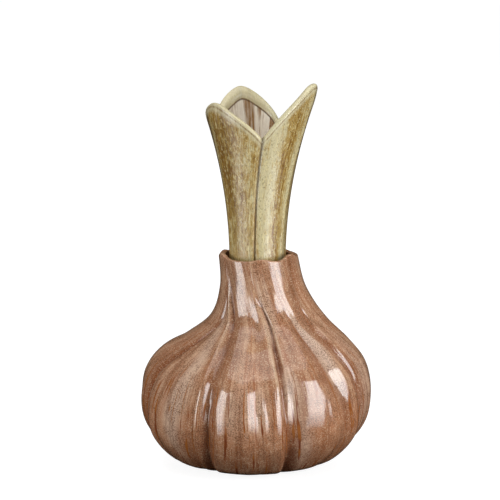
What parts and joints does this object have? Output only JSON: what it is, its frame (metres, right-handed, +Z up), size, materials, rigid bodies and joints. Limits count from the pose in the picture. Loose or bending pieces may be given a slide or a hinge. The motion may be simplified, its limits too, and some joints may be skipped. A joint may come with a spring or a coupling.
{
  "type": "vase",
  "caption": "Glazed stoneware vase shaped as a garlic bulb, with a separate trumpet-shaped leaf stalk that stands in its collar and lifts out.",
  "frame": {"origin": "centre of the bounding box on the surface that the vase stands on, 1 mm from the axis of the stalk", "axes": "+Z up along the stalk, -Y towards the front seam of the stalk, +X to the right as seen from the front"},
  "size_m": [0.186, 0.1899, 0.3107],
  "materials": {
    "bulb_glaze": "gloss",
    "stalk_glaze": "gloss"
  },
  "bodies": {
    "bulb": {"bulb": "bulb_glaze"},
    "stalk": {"stalk": "stalk_glaze"}
  },
  "joints": [
    {"name": "stalk_lift", "type": "slide", "parent": "bulb", "child": "stalk", "axis": [0, 0, 1], "range_m": [0, 0.2]}
  ]
}
